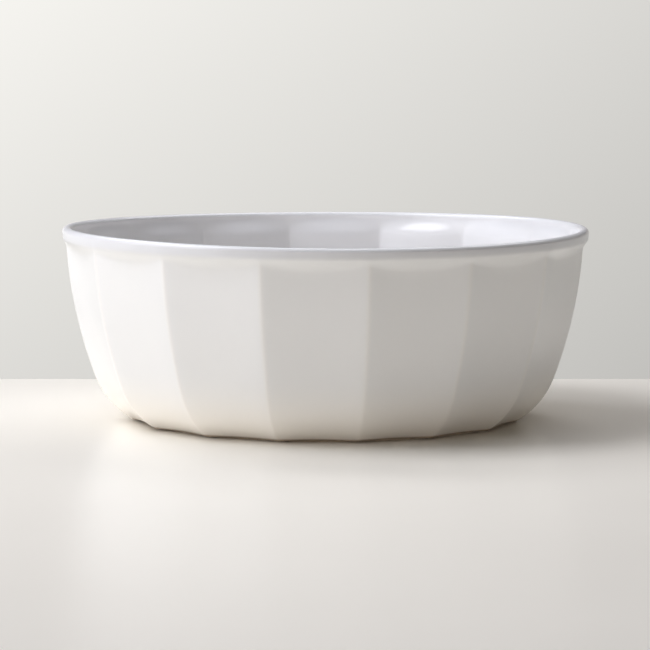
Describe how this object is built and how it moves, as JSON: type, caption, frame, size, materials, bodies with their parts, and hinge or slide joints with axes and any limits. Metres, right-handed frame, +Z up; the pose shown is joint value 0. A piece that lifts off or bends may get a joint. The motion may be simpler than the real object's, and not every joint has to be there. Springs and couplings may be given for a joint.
{
  "type": "serving bowl",
  "caption": "Large round porcelain serving bowl with flat flutes round the wall, a plain rim band, white glaze and a bare foot ring.",
  "frame": {"origin": "middle of the foot ring, on the surface that the bowl stands on", "axes": "+Z up, the axis of the bowl, through the middle of the rim; one ridge between flutes lies on each of +X, -X, +Y and -Y"},
  "size_m": [0.28, 0.28, 0.103],
  "materials": {
    "bare_clay": "bare fired clay, ground flat, matt",
    "clay_body": "fired clay under the glaze, matt",
    "white_glaze": "glossy opaque white glaze"
  },
  "bodies": {
    "root": {"foot_ring": "bare_clay", "well_floor": "clay_body", "fluted_heel": "clay_body", "fluted_wall": "clay_body", "rim_band": "clay_body", "glaze_coat": "white_glaze", "underside_glaze": "white_glaze"}
  },
  "joints": []
}
